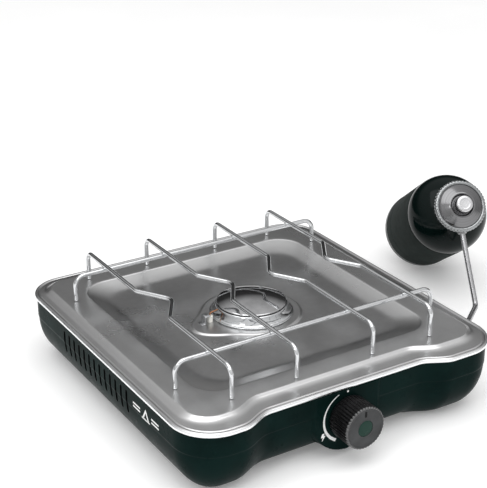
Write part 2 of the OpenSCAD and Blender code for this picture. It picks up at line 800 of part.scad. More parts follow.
module cylinder_foot() {
    color([0.06, 0.08, 0.08]) on_bottle(-bottle_len)
        tube(bottle_r + 0.2, bottle_r - 0.48, 15.2);
}

module cylinder_valve() {
    color(brass) on_bottle(35) difference() {
        cylinder(r = 12.6, h = 11);
        translate([0, 0, 4]) tube(11, 8, 8);
    }
}

base_tub();
rubber_feet();
top_pan();
burner_bowl();
mixing_tube();
air_shutter();
burner_skirt();
port_ring();
burner_cap();
cap_stud();
cap_nut();
burner_bracket();
bracket_screws();
electrode_guard();
electrode_ceramic();
electrode_tip();
ignition_lead();
piezo_module();
piezo_plunger();
valve_body();
valve_jet();
valve_nut();
valve_bracket();
bracket_rivets();
inlet_fitting();
inlet_nut();
gas_tube();
gas_tube_nuts();
knob_body();
knob_insert();
knob_clip();
valve_stem();
ignition_cam();
grate_bar_left();
grate_bar_mid_left();
grate_bar_mid_right();
grate_bar_right();
grate_cross_front();
grate_cross_back();
outlet_pipe();
outlet_plug();
outlet_seal();
regulator_base();
crimp_ring();
regulator_cover();
regulator_cap();
diaphragm();
regulator_spring();
valve_pin();
cylinder_dome();
cylinder_body();
cylinder_sleeve();
cylinder_foot();
cylinder_valve();
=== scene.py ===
"""Single-burner camping stove: detailed pieces and materials over the CAD frame.

Shapes are worked out in millimetres in the part's own frame (origin on the table under the
burner, +Y to the back) and written into the meshes in metres.
"""
import json
import math

import bmesh
import bpy
from mathutils import Matrix, Vector


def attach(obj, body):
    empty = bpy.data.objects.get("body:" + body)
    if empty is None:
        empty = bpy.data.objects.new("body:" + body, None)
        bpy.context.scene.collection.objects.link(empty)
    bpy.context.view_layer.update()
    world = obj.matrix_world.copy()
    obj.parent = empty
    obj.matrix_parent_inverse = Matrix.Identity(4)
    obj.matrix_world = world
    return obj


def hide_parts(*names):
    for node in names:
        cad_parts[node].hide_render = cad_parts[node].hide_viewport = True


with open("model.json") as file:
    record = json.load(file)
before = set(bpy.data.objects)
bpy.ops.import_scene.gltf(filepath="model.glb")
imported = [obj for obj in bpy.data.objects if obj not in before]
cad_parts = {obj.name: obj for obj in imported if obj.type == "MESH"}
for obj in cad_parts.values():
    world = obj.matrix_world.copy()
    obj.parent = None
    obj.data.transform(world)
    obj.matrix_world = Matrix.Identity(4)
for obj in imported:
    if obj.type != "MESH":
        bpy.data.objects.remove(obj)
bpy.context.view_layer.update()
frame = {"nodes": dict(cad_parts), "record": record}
MM = 0.001

# ---------- dimensions in millimetres, as in the CAD model ----------
HALF_W, RIM_BACK, RIM_FRONT, BULGE, FRONT_X = 187.0, 189.0, 187.0, 13.0, -6.0
FRONT_R, BACK_R, RIM_Z, BEAD_R = 44.0, 40.0, 77.0, 2.7
LAND_Z, FLOOR_Z, SHEET = 84.0, 76.8, 1.2
SEAT_Z = FLOOR_Z + 1.6           # the pressed pad that the burner sits on
CAP_Z, CAP_DOME = SEAT_Z + 12, 7.0
PAD_R, PAD_NOSE, PAD_NOSE_TURN = 54, 22, 187
WIRE_R, WIRE_OUT, WIRE_IN, WIRE_HALF = 2.5, 120, 46, 156.0
CROSS_Y, CROSS_HALF, CROSS_Z = 112, 156.4, 112.7
BAR_Z, KINK, KINK_REACH = 117.4, 23.0, 37.0
KNOB_Z, KNOB_R, KNOB_BACK, KNOB_LEN = 45.5, 22.9, -188.1, 29.0
KNOB_RIBS, INSERT_R = 40, 8.6
PANEL_Y, PANEL_R = -186.6, 39.0
TUB_FLOOR, CREASE_Z, TUB_TOP, TUB_INSET, TUB_WALL = 4.6, 52.0, 75.0, 2.6, 1.5
UNDER_R, RAIL_IN, RAIL_DROP = 34, 84, 2.4
SLOTS, SLOT_PITCH, SLOT_BACK, SLOT_MID, SLOT_HALF, SLOT_R = 13, 12.2, 11, 53.6, 13.0, 2.0
BOTTLE_R, DOME_H, BOTTLE_LEN = 49.0, 41.0, 123.0
BOTTLE_FOOT, BOTTLE_TILT, BOTTLE_TURN = (315.5, 49.4, 106.6), 58.5, -113.7
PIPE_R, PIPE_TOP, PIPE_LOW = 3.2, (299.7, 13.5, 130.7), (284.5, -47.7, 29.4)
PIPE_OUT, PIPE_END = (207, -112, 44), (190, -112, 44)
CRIMP_R = 31.5

# ---------- dimensions of the visual pieces' own detail ----------
TRAY_IN, TRAY_R, HOLE_R, CAP_R = 71, 30, 33, 38.4
CRIMP_TEETH, CRIMP_MARKS, DIAL_R = 48, 30, 27.7

ON_BOTTLE = (Matrix.Translation(BOTTLE_FOOT) @ Matrix.Rotation(math.radians(BOTTLE_TURN), 4, "Z")
             @ Matrix.Rotation(math.radians(BOTTLE_TILT), 4, "Y"))
ON_KNOB = Matrix.Translation((FRONT_X, KNOB_BACK, KNOB_Z)) @ Matrix.Rotation(math.pi / 2, 4, "X")
UPRIGHT = Matrix.Identity(4)


# ---------- materials ----------
class Shader:
    """A Principled material whose colour, gloss and relief come from procedural textures."""

    def __init__(self, name, colour, rough, metal=0.0, coat=0.0, coat_rough=0.05, spec=0.5):
        self.mat = bpy.data.materials.new(name)
        self.mat.use_nodes = True
        self.tree = self.mat.node_tree
        self.bsdf = self.tree.nodes["Principled BSDF"]
        self.colour, self.rough = colour, rough
        self.bsdf.inputs["Base Color"].default_value = (*colour, 1)
        self.bsdf.inputs["Roughness"].default_value = rough
        self.bsdf.inputs["Metallic"].default_value = metal
        self.bsdf.inputs["Coat Weight"].default_value = coat
        self.bsdf.inputs["Coat Roughness"].default_value = coat_rough
        self.bsdf.inputs["Specular IOR Level"].default_value = spec
        self.place = self.node("ShaderNodeTexCoord").outputs["Object"]
        self.normal = None

    def node(self, kind, **props):
        n = self.tree.nodes.new(kind)
        for k, v in props.items():
            setattr(n, k, v)
        return n

    def link(self, a, b):
        self.tree.links.new(a, b)

    def local(self, matrix):
        """Textures follow a tilted piece's own axis."""
        m = self.node("ShaderNodeMapping", vector_type="TEXTURE")
        loc, rot, _ = matrix.decompose()
        m.inputs["Location"].default_value = loc * MM
        m.inputs["Rotation"].default_value = rot.to_euler()
        self.link(self.place, m.inputs["Vector"])
        self.place = m.outputs[0]
        return self

    def scaled(self, stretch):
        m = self.node("ShaderNodeMapping")
        m.inputs["Scale"].default_value = stretch
        self.link(self.place, m.inputs["Vector"])
        return m.outputs[0]

    def math(self, op, a, b=None):
        n = self.node("ShaderNodeMath", operation=op)
        for i, v in enumerate((a, b)):
            if v is not None:
                if isinstance(v, (int, float)):
                    n.inputs[i].default_value = v
                else:
                    self.link(v, n.inputs[i])
        return n.outputs[0]

    def noise(self, scale, detail=3.0, rough=0.55, stretch=(1, 1, 1)):
        n = self.node("ShaderNodeTexNoise")
        n.inputs["Scale"].default_value = scale
        n.inputs["Detail"].default_value = detail
        n.inputs["Roughness"].default_value = rough
        self.link(self.scaled(stretch), n.inputs["Vector"])
        return n.outputs["Fac"]

    def rings(self, scale):
        """Fine turned lines round the local Z axis."""
        xyz = self.node("ShaderNodeSeparateXYZ")
        self.link(self.place, xyz.inputs[0])
        r = self.math("SQRT", self.math("ADD", self.math("MULTIPLY", xyz.outputs[0], xyz.outputs[0]),
                                        self.math("MULTIPLY", xyz.outputs[1], xyz.outputs[1])))
        n = self.node("ShaderNodeTexNoise", noise_dimensions="1D")
        n.inputs["Scale"].default_value = scale
        n.inputs["Detail"].default_value = 2
        self.link(self.math("ADD", r, xyz.outputs[2]), n.inputs["W"])
        return n.outputs["Fac"]

    def spread(self, fac, low, high, lo_in=0.35, hi_in=0.65):
        n = self.node("ShaderNodeMapRange")
        for key, v in (("From Min", lo_in), ("From Max", hi_in), ("To Min", low), ("To Max", high)):
            n.inputs[key].default_value = v
        self.link(fac, n.inputs["Value"])
        return n.outputs["Result"]

    def tint(self, fac, other, lo=0.35, hi=0.65):
        """Colour runs from the base to another colour with fac."""
        n = self.node("ShaderNodeMix", data_type="RGBA")
        old = self.bsdf.inputs["Base Color"]
        if old.is_linked:
            self.link(old.links[0].from_socket, n.inputs[6])
        else:
            n.inputs[6].default_value = (*self.colour, 1)
        n.inputs[7].default_value = (*other, 1)
        self.link(self.spread(fac, 0, 1, lo, hi), n.inputs[0])
        self.link(n.outputs[2], old)
        return self

    def gloss(self, fac, amount, lo=0.3, hi=0.7):
        self.link(self.spread(fac, self.rough - amount, self.rough + amount, lo, hi),
                  self.bsdf.inputs["Roughness"])
        return self

    def relief(self, fac, strength, depth_mm):
        n = self.node("ShaderNodeBump")
        n.inputs["Strength"].default_value = strength
        n.inputs["Distance"].default_value = depth_mm * MM
        self.link(fac, n.inputs["Height"])
        if self.normal:
            self.link(self.normal, n.inputs["Normal"])
        self.normal = n.outputs[0]
        self.link(self.normal, self.bsdf.inputs["Normal"])
        return self


def times(c, k):
    return tuple(min(1.0, x * k) for x in c)


def drawn_sheet():
    """Satin pressed sheet, with painted shade that makes the tray's floor darker than the land."""
    s = Shader("pan_sheet", (0.63, 0.63, 0.631), 0.29, metal=0.97)
    cloud, grain = s.noise(9, 4), s.noise(900, 3, 0.6)
    xyz = s.node("ShaderNodeSeparateXYZ")
    s.link(s.place, xyz.inputs[0])
    # painted shade: below the land, the tray's floor is tinted darker by height
    s.tint(xyz.outputs[2], (0.47, 0.47, 0.472), FLOOR_Z * MM + 0.0062, FLOOR_Z * MM)
    s.tint(s.noise(60, 4, 0.7), (0.57, 0.57, 0.572), 0.4, 0.9)
    s.gloss(cloud, 0.03).relief(grain, 0.08, 0.008)
    return s.relief(s.noise(14, 2), 0.04, 0.08).mat


def bright(name, colour=(0.86, 0.87, 0.88), rough=0.1, smear=60.0):
    s = Shader(name, colour, rough, metal=1.0)
    s.gloss(s.noise(smear, 4, 0.6), rough * 0.4)
    s.tint(s.noise(smear * 4, 3), times(colour, 0.9), 0.5, 0.8)
    return s.relief(s.noise(700, 2), 0.08, 0.01).mat


def enamel(name, colour, rough, coat=0.4, peel=0.05, spec=0.5, metal=0.0):
    s = Shader(name, colour, rough, metal=metal, coat=coat, coat_rough=0.12, spec=spec)
    s.tint(s.noise(30, 4), times(colour, 1.5)).gloss(s.noise(70, 4, 0.65), 0.05)
    s.relief(s.noise(420, 2, 0.5), 0.18, peel)
    return s.mat


def moulded(name, colour, rough, grain=1400.0, local=None, spec=0.22):
    s = Shader(name, colour, rough, spec=spec)
    if local is not None:
        s.local(local)
    s.tint(s.noise(60, 4), times(colour, 1.7)).gloss(s.noise(240, 3), 0.06)
    return s.relief(s.noise(grain, 3, 0.6), 0.3, 0.03).mat


def turned(name, colour, rough, local, lines=2600.0, metal=1.0):
    s = Shader(name, colour, rough, metal=metal).local(local)
    r = s.rings(lines)
    s.gloss(r, 0.07).tint(r, times(colour, 0.72), 0.45, 0.7).relief(r, 0.25, 0.03)
    return s.mat


def plated(name, colour, rough=0.32, metal=1.0):
    s = Shader(name, colour, rough, metal=metal)
    s.tint(s.noise(90, 5, 0.65), times(colour, 0.8)).gloss(s.noise(200, 4), 0.08)
    return s.relief(s.noise(1200, 2), 0.15, 0.015).mat


def printed(name, colour):
    s = Shader(name, colour, 0.45)
    s.tint(s.noise(500, 3, 0.7), times(colour, 0.85), 0.5, 0.8).gloss(s.noise(150, 3), 0.05)
    return s.relief(s.noise(1500, 2), 0.1, 0.01).mat


def painted_cylinder(name, colour, rough, coat, spec):
    s = Shader(name, colour, rough, coat=coat, coat_rough=0.06, spec=spec).local(ON_BOTTLE)
    s.tint(s.noise(40, 5, 0.6), times(colour, 1.35)).gloss(s.noise(110, 4), 0.04)
    return s.relief(s.noise(500, 2), 0.12, 0.03).mat


PAN = drawn_sheet()
RIM = bright("rim_bright", (0.93, 0.94, 0.95), 0.28, 25)
TUB = enamel("tub_enamel", (0.0026, 0.0090, 0.0082), 0.30, coat=0.0, spec=0.018)
# near-black painted shade, for the faces inside the vent slots and the seam ring on the cylinder
SHADE = moulded("slot_shade", (0.0025, 0.0028, 0.0028), 0.6, spec=0.03)
CHROME = bright("grate_chrome", (0.66, 0.67, 0.68), 0.08)
SKIRT = bright("burner_chrome", (0.62, 0.63, 0.64), 0.07, 45)
CAP = enamel("cap_enamel", (0.36, 0.36, 0.365), 0.08, coat=0.0, peel=0.012, metal=1.0)
PIPE = plated("pipe_steel", (0.42, 0.42, 0.43), 0.3)
KNOB_SIDE = moulded("knob_side", (0.0040, 0.0040, 0.0043), 0.3, spec=0.12)
# the ribs' front ends: painted highlight, a colour lighter than the ribbed side, with a glossier finish
KNOB_EDGE_HIGHLIGHT = moulded("knob_edge_highlight", (0.030, 0.030, 0.031), 0.2, spec=0.9)
KNOB_FACE = moulded("knob_face", (0.030, 0.031, 0.032), 0.5)
INSERT = enamel("knob_insert", (0.004, 0.020, 0.014), 0.25, coat=0.0, spec=0.15)
POINTER = moulded("knob_pointer", (0.004, 0.004, 0.004), 0.5, spec=0.1)
PRINT = printed("print_white", (0.80, 0.81, 0.80))
DOME = painted_cylinder("dome_paint", (0.0016, 0.0046, 0.0042), 0.10, 0.02, 0.12)
SLEEVE = painted_cylinder("sleeve_print", (0.0115, 0.0165, 0.0150), 0.55, 0.0, 0.02)
FOOT = moulded("foot_plastic", (0.008, 0.013, 0.012), 0.3, local=ON_BOTTLE)
COVER = turned("regulator_turned", (0.20, 0.20, 0.204), 0.18, ON_BOTTLE, 900)
CRIMP = plated("regulator_crimp", (0.33, 0.34, 0.345), 0.2)
BASE = turned("regulator_cast", (0.42, 0.42, 0.43), 0.36, ON_BOTTLE, 700)
BUTTON = turned("regulator_cap", (0.62, 0.62, 0.63), 0.24, ON_BOTTLE, 1500)
STEEL = plated("plated_steel", (0.56, 0.57, 0.58))
BRASS = plated("valve_brass", (0.62, 0.42, 0.16), 0.28)
ALLOY = plated("cast_aluminium", (0.45, 0.45, 0.44), 0.45)
RUBBER = moulded("black_rubber", (0.012, 0.012, 0.012), 0.62)
PLASTIC = moulded("igniter_plastic", (0.55, 0.54, 0.50), 0.45)
CERAMIC = enamel("igniter_ceramic", (0.72, 0.69, 0.63), 0.25, coat=0.6, peel=0.01)
COPPER = plated("electrode_wire", (0.36, 0.17, 0.09), 0.38)

# ---------- mesh helpers ----------


def place_object(name, data):
    ob = bpy.data.objects.new(name, data)
    bpy.context.scene.collection.objects.link(ob)
    return ob


def solid(name, verts, faces, mats, zones=None, place=UPRIGHT):
    """A mesh from points in millimetres, faces outwards; zones holds each face's material."""
    me = bpy.data.meshes.new(name)
    me.from_pydata([(place @ Vector(v)) * MM for v in verts], [], faces)
    for polygon, zone in zip(me.polygons, zones or []):
        polygon.material_index = zone
    bm = bmesh.new()
    bm.from_mesh(me)
    bmesh.ops.recalc_face_normals(bm, faces=bm.faces)
    bm.to_mesh(me)
    bm.free()
    for m in mats:
        me.materials.append(m)
    return me


def piece(name, verts, faces, body, mats, swaps=(), zones=None, sharp=38, place=UPRIGHT):
    """An object that rides on a body and stands for the CAD nodes in swaps."""
    ob = place_object(name, solid(name, verts, faces, mats, zones, place))
    smooth(ob, sharp)
    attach(ob, body)
    if swaps:
        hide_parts(*swaps)
    return ob


def smooth(ob, sharp):
    ob.data.polygons.foreach_set("use_smooth", [True] * len(ob.data.polygons))
    ob.data.set_sharp_from_angle(angle=math.radians(sharp))


def joined(parts):
    """One list of points and one of faces from several (points, faces) pairs."""
    verts, faces = [], []
    for v, f in parts:
        faces += [tuple(j + len(verts) for j in face) for face in f]
        verts += v
    return verts, faces


def skin(rings, loop=False, caps=(True, True)):
    """Faces through closed rings of equal length; loop joins the last ring to the first."""
    n, count = len(rings[0]), len(rings)
    verts = [p for r in rings for p in r]
    faces = []
    for j in range(count if loop else count - 1):
        k = (j + 1) % count
        for i in range(n):
            m = (i + 1) % n
            faces.append((j * n + i, k * n + i, k * n + m, j * n + m))
    if not loop:
        for wanted, j in zip(caps, (0, count - 1)):
            if wanted:
                c = len(verts)
                verts.append(tuple(sum(p[a] for p in rings[j]) / n for a in range(3)))
                faces += [(c, j * n + i, j * n + (i + 1) % n) for i in range(n)]
    return verts, faces


def lathe(profile, segs=128, shape=None):
    """Rings of the profile's (radius, height) points; shape(radius, angle, index) can rib them."""
    rings = []
    for k, (r, z) in enumerate(profile):
        ring = []
        for i in range(segs):
            a = 2 * math.pi * i / segs
            rr = shape(r, a, k) if shape else r
            ring.append((rr * math.cos(a), rr * math.sin(a), z))
        rings.append(ring)
    return rings


def rounded(profile, radius, steps=5):
    """Profile with each inner corner rounded to at most the given radius."""
    out = [profile[0]]
    for a, b, c in zip(profile, profile[1:], profile[2:]):
        u, v = Vector(a) - Vector(b), Vector(c) - Vector(b)
        if u.length < 1e-6 or v.length < 1e-6 or u.angle(v) > math.radians(172):
            out.append(b)
            continue
        cut = min(radius, u.length * 0.45, v.length * 0.45)
        p, q = Vector(b) + u.normalized() * cut, Vector(b) + v.normalized() * cut
        for i in range(steps + 1):
            t = i / steps
            out.append(tuple(p * (1 - t) ** 2 + Vector(b) * 2 * t * (1 - t) + q * t * t))
    out.append(profile[-1])
    return out


def ease(t):
    return 0.0 if t <= 0 else 1.0 if t >= 1 else (1 - math.cos(math.pi * t)) / 2


def spread(a, b, n):
    return [a + (b - a) * i / (n - 1) for i in range(n)]


# ---------- plan outline ----------
STATIONS = sorted(set(round(x, 3) for x in
                      spread(-132, -47, 30) + spread(-46, 34, 64) + spread(35, 120, 30)))


def wave(x):
    """0 in front of the knob, 1 at the two front corners that stand out."""
    return ease((abs(x - FRONT_X) - 88) / 38)


def outline(d, e=0.0, r_min=2.0, w=1.0, corner=14, side=26):
    """The plan, d inside the rim; e sets the front back and w is the share of its wave."""
    rf, rb = max(FRONT_R - d, r_min), max(BACK_R - d, r_min)
    squeeze = (HALF_W - d - rf) / (HALF_W - FRONT_R)
    yf = -RIM_FRONT + d + e
    yc, yb = yf - w * BULGE + rf, RIM_BACK - d - rb
    xf, xb = HALF_W - d - rf, HALF_W - d - rb

    def arc(cx, cy, r, a0):
        return [(cx + r * math.cos(math.radians(a0 + 90 * i / corner)),
                 cy + r * math.sin(math.radians(a0 + 90 * i / corner))) for i in range(corner + 1)]

    def between(a, b):
        return [(a[0] + (b[0] - a[0]) * i / side, a[1] + (b[1] - a[1]) * i / side)
                for i in range(1, side)]

    pts = [(x * squeeze, yf - w * BULGE * wave(x)) for x in STATIONS]
    pts += arc(xf, yc, rf, -90) + between((xf + rf, yc), (xb + rb, yb))
    pts += arc(xb, yb, rb, 0) + between((xb, yb + rb), (-xb, yb + rb))
    pts += arc(-xb, yb, rb, 90) + between((-xb - rb, yb), (-xf - rf, yc))
    return pts + arc(-xf, yc, rf, 180)


def ring(d, z, e=0.0, r_min=2.0, w=1.0):
    return [(x, y, z) for x, y in outline(d, e, r_min, w)]


# ---------- top pan ----------
# distance inside the rim, height over the land, front set-back, least corner radius, share of the wave
PAN_KEYS = [(6.2, -4.6, 0, 2, 1), (8.4, -4.4, 3, 2, 1), (11.4, -4.0, 6.4, 8, 1), (14, -2.8, 7.8, 11, 1),
            (18, -0.6, 6.4, 18, 1), (21.4, 0, 5, 20, 1), (44, 0, 2, 30, 0), (48.5, -1.0, 2.4, 30, 0),
            (57, -4.2, 3.6, 30, 0), (65, -6.7, 4.3, 30, 0), (TRAY_IN, -7.2, 4.6, TRAY_R, 0)]


def between_keys(keys, steps):
    """Smooth stations through the keys that never overshoot them."""
    out = []
    for a, b in zip(keys, keys[1:]):
        i = keys.index(a)
        before, after = keys[max(i - 1, 0)], keys[min(i + 2, len(keys) - 1)]
        for s in range(steps):
            t = s / steps
            row = []
            for p0, p1, p2, p3 in zip(before, a, b, after):
                m1 = 0 if (p1 - p0) * (p2 - p1) <= 0 else (p2 - p0) / 2
                m2 = 0 if (p2 - p1) * (p3 - p2) <= 0 else (p3 - p1) / 2
                limit = 3 * abs(p2 - p1)
                m1, m2 = max(-limit, min(limit, m1)), max(-limit, min(limit, m2))
                row.append((2 * t**3 - 3 * t**2 + 1) * p1 + (t**3 - 2 * t**2 + t) * m1
                           + (3 * t**2 - 2 * t**3) * p2 + (t**3 - t**2) * m2)
            out.append(tuple(row))
    return out + [keys[-1]]


def pad_edge(a):
    """Radius of the pad round the burner, with its nose under the igniter."""
    return PAD_R + PAD_NOSE * max(0.0, math.cos(a - math.radians(PAD_NOSE_TURN))) ** 12


def pan_floor():
    """Rings from the tray's floor over the pressed pad to the burner's hole."""
    inset, down, front, corner, share = PAN_KEYS[-1]
    rim = outline(inset, front, corner, share)
    slope = 3.2                                # half the width of the pad's pressed edge
    rings = []
    for t in spread(0.12, 1, 8) + spread(1.05, 2, 14) + spread(2.2, 3, 5):
        row = []
        for x, y in rim:
            a = math.atan2(y, x)
            far, edge = math.hypot(x, y), pad_edge(a)
            if t <= 1:
                r = far + (edge + slope - far) * t
            elif t <= 2:
                r = edge + slope - 2 * slope * (t - 1)
            else:
                r = edge - slope + (HOLE_R - edge + slope) * (t - 2)
            z = LAND_Z + down + (SEAT_Z - FLOOR_Z) * ease((edge + 2.4 - r) / 4.2)
            row.append((r * math.cos(a), r * math.sin(a), z))
        rings.append(row)
    return rings


def build_pan():
    bead = []
    for a in (math.radians(x) for x in spread(-150, 150, 25)):
        bead.append(ring(BEAD_R * (1 - math.cos(a)), RIM_Z + BEAD_R * math.sin(a)))
    top = [ring(d, LAND_Z + h, e, r, w) for d, h, e, r, w in between_keys(PAN_KEYS, 6)] + pan_floor()
    under = [[(x, y, z - SHEET) for x, y, z in r] for r in reversed(top[2:])]
    verts, faces = skin(bead + top + under, loop=True)
    polished = 16 * len(bead[0])               # faces from the rim's inner foot over its top
    zones = [1 if i < polished else 0 for i in range(len(faces))]
    piece("pan_pressing", verts, faces, "stove", [PAN, RIM], ["top_pan"], zones, 50)


# ---------- tub ----------


def panel_half(z):
    """Half width of the flat panel round the knob at a height."""
    return PANEL_R if z >= KNOB_Z else math.sqrt(max(0.0, PANEL_R**2 - (KNOB_Z - z) ** 2))


def tub_ring(d, z, k=0.0, t=0.0, rise=0.0):
    """One ring of the tub; k is the share of the rails' drop and t the wall's thickness."""
    out = []
    for x, y in outline(d):
        if y < PANEL_Y + 80 and z > KNOB_Z - PANEL_R:
            share = ease((panel_half(z) - abs(x - FRONT_X)) / 3 + 0.5) * ease((TUB_TOP - z) / 2)
            y += share * (min(y, PANEL_Y + t) - y)
        out.append((x, y, z + rise - k * RAIL_DROP * ease((abs(x - FRONT_X) - RAIL_IN) / 10)))
    return out


def build_tub():
    def under(t, angles):
        return [tub_ring(TUB_INSET + 0.7 + UNDER_R * (1 - math.cos(a)) + t * math.cos(a),
                         TUB_FLOOR + (CREASE_Z - 0.5 - TUB_FLOOR) * (1 - math.sin(a)),
                         ease((math.degrees(a) - 40) / 45), t, t * math.sin(a)) for a in angles]

    wall = TUB_INSET + TUB_WALL
    arcs = [math.radians(a) for a in spread(90, 0, 38)]
    outside = [tub_ring(75, TUB_FLOOR), tub_ring(62, TUB_FLOOR, 1)] + under(0, arcs)
    outside += [tub_ring(TUB_INSET + x, CREASE_Z + z) for x, z in ((0.55, 0.1), (0.2, 0.6), (0, 1.2))]
    outside += [tub_ring(TUB_INSET, z) for z in spread(CREASE_Z + 3, TUB_TOP - 2, 6)]
    outside += [tub_ring(TUB_INSET, z) for z in (TUB_TOP - 1.3, TUB_TOP - 0.6, TUB_TOP)]
    inside = [tub_ring(wall, z, 0, TUB_WALL) for z in (TUB_TOP, TUB_TOP - 2, CREASE_Z + 1)]
    inside += under(TUB_WALL, list(reversed(arcs))[::2])
    inside += [tub_ring(62, TUB_FLOOR, 1, 0, TUB_WALL), tub_ring(75, TUB_FLOOR, 0, 0, TUB_WALL)]
    verts, faces = skin(outside + inside)
    tub = piece("tub_shell", verts, faces, "stove", [TUB, SHADE], ["base_tub"])
    cut_slots(tub)


def slot_cutter(side, i):
    """A round-ended bar through the tub's side wall."""
    y = (i - (SLOTS - 1) // 2) * SLOT_PITCH + SLOT_BACK
    loop = []
    for end in (1, -1):
        for k in range(9):
            a = math.pi * k / 8 + (0 if end > 0 else math.pi)
            loop.append((y + SLOT_R * math.cos(a),
                         SLOT_MID + end * (SLOT_HALF - SLOT_R) + SLOT_R * math.sin(a)))
    x0, x1 = sorted((side * (HALF_W - 11), side * (HALF_W + 5)))
    return skin([[(x, a, b) for a, b in loop] for x in (x0, x1)])


def cut_slots(tub):
    """The vent slots in both sides, with painted shade: near-black faces inside them."""
    verts, faces = joined(slot_cutter(side, i) for side in (-1, 1) for i in range(SLOTS))
    # the cutter's faces carry the near-black painted shade onto the slots' inner faces
    bars = solid("slot_cutter", verts, faces, [TUB, SHADE], [1] * len(faces))
    cutter = place_object("slot_cutter", bars)
    mod = tub.modifiers.new("slots", "BOOLEAN")
    mod.operation, mod.solver, mod.object = "DIFFERENCE", "EXACT", cutter
    bpy.context.view_layer.update()
    cut = bpy.data.meshes.new_from_object(tub.evaluated_get(bpy.context.evaluated_depsgraph_get()))
    tub.modifiers.clear()
    tub.data = cut
    bpy.data.objects.remove(cutter)
    smooth(tub, 32)


# ---------- printed marks ----------


def flat_mark(name, shapes, to_row, thick, body="stove"):
    """Closed outlines [(u, v), ...] laid on a face by to_row(u, v, height)."""
    verts, faces = joined(skin([[to_row(a, b, h) for a, b in loop] for h in (0.0, thick)])
                          for loop in shapes)
    return piece(name, verts, faces, body, [PRINT], sharp=30)


def disc(cx, cy, r, n=24):
    return [(cx + r * math.cos(2 * math.pi * i / n), cy + r * math.sin(2 * math.pi * i / n))
            for i in range(n)]


def build_marks():
    """A dot, a swelling arc and a spark round the knob, and a tent between bars on the left side."""
    def on_panel(u, v, h):
        return (FRONT_X + u, PANEL_Y - 0.02 - h, KNOB_Z + v)

    sweep = []
    for i in range(24):                        # short links, so each fan stays inside the band
        a0, a1 = (math.radians(112 + 130 * (i + k) / 24) for k in (0, 1.02))
        w0, w1 = 0.35 + 0.055 * i, 0.35 + 0.055 * (i + 1)
        sweep.append([(DIAL_R * math.cos(a) * m, DIAL_R * math.sin(a) * m) for a, m in (
            (a0, 1 - w0 / DIAL_R), (a0, 1 + w0 / DIAL_R), (a1, 1 + w1 / DIAL_R), (a1, 1 - w1 / DIAL_R))])
    spark = [(-29.4, -12.6), (-26.6, -12.6), (-27.8, -15.4), (-25.4, -15.4), (-29.6, -21.4),
             (-28.6, -17.0), (-30.8, -17.0)]
    flat_mark("dial_print", sweep + [disc(0, 26.6, 1.15), spark], on_panel, 0.08)

    def on_side(u, v, h):
        return (-HALF_W + TUB_INSET - 0.02 - h, u, v)

    def bar(y0, y1, z, half):
        return [(y0, z - half), (y1, z - half), (y1, z + half), (y0, z + half)]

    tent = [[(-96.4, 54.4), (-103.0, 65.2), (-103.0, 61.2), (-99.2, 54.4)],
            [(-109.6, 54.4), (-103.0, 65.2), (-103.0, 61.2), (-106.8, 54.4)]]
    ground = bar(-111.2, -94.8, 53.2, 0.7)
    bars = [bar(y, y + 14.8, z, 0.9) for y in (-91.4, -129.4) for z in (56.6, 60.4)]
    flat_mark("side_mark", tent + [ground] + bars, on_side, 0.08)


# ---------- burner ----------


def build_burner():
    """The chrome ring with its rolled lip, and the domed cap inside it."""
    lip = [(45.1 + 0.9 * math.cos(math.radians(a)), 1.0 + 0.9 * math.sin(math.radians(a)))
           for a in range(-120, 121, 15)]
    profile = [(43.4, 0.35)] + lip + [(43.9, 2.1), (42.9, 3.3), (41.9, 5.0), (40.9, 7.2), (40.1, 9.4),
               (39.6, 10.7), (39.1, 11.3), (38.5, 11.5), (37.9, 11.2), (37.8, 10.4), (38.6, 8.0),
               (40.0, 5.0), (41.6, 2.4), (42.6, 1.0)]
    rings = [[(x, y, z + SEAT_Z) for x, y, z in r] for r in lathe(profile, 160)]
    verts, faces = skin(rings, loop=True)
    piece("burner_ring", verts, faces, "stove", [SKIRT], ["burner_skirt"], sharp=60)

    ball = (CAP_R * CAP_R + CAP_DOME * CAP_DOME) / (2 * CAP_DOME)
    top = []
    for i in range(25):
        q = CAP_R * (1 - i / 24)
        top.append((max(q, 0.01), 1.3 + math.sqrt(ball * ball - q * q) - (ball - CAP_DOME)))
    profile = [(0.01, 0.05), (36.6, 0.05), (37.9, 0.2), (38.45, 0.65), (38.5, 1.0)] + top
    rings = [[(x, y, z + CAP_Z) for x, y, z in ring_] for ring_ in lathe(profile, 160)]
    verts, faces = skin(rings)
    piece("burner_dome", verts, faces, "stove", [CAP], ["burner_cap"], sharp=60)


def build_guard():
    """Bent sheet guard beside the burner, drawn as a thick bent strip with rounded corners."""
    path = rounded([(-64.4, 79.0), (-59.5, 79.0), (-59.5, 87.5), (-53.6, 87.5)], 1.2, 6)
    rings = []
    for i, (x, z) in enumerate(path):
        a, b = Vector(path[max(i - 1, 0)]), Vector(path[min(i + 1, len(path) - 1)])
        t = (b - a).normalized()
        n = Vector((-t.y, t.x)) * 0.5
        rings.append([(x + n.x * side, y, z + n.y * side) for side, y in (
            (1, -3.7), (1, 4.7), (0.6, 5), (-0.6, 5), (-1, 4.7), (-1, -3.7), (-0.6, -4), (0.6, -4))])
    verts, faces = skin(rings)
    piece("igniter_guard", verts, faces, "stove", [STEEL], ["electrode_guard"],
          sharp=40)


# ---------- bent rods ----------


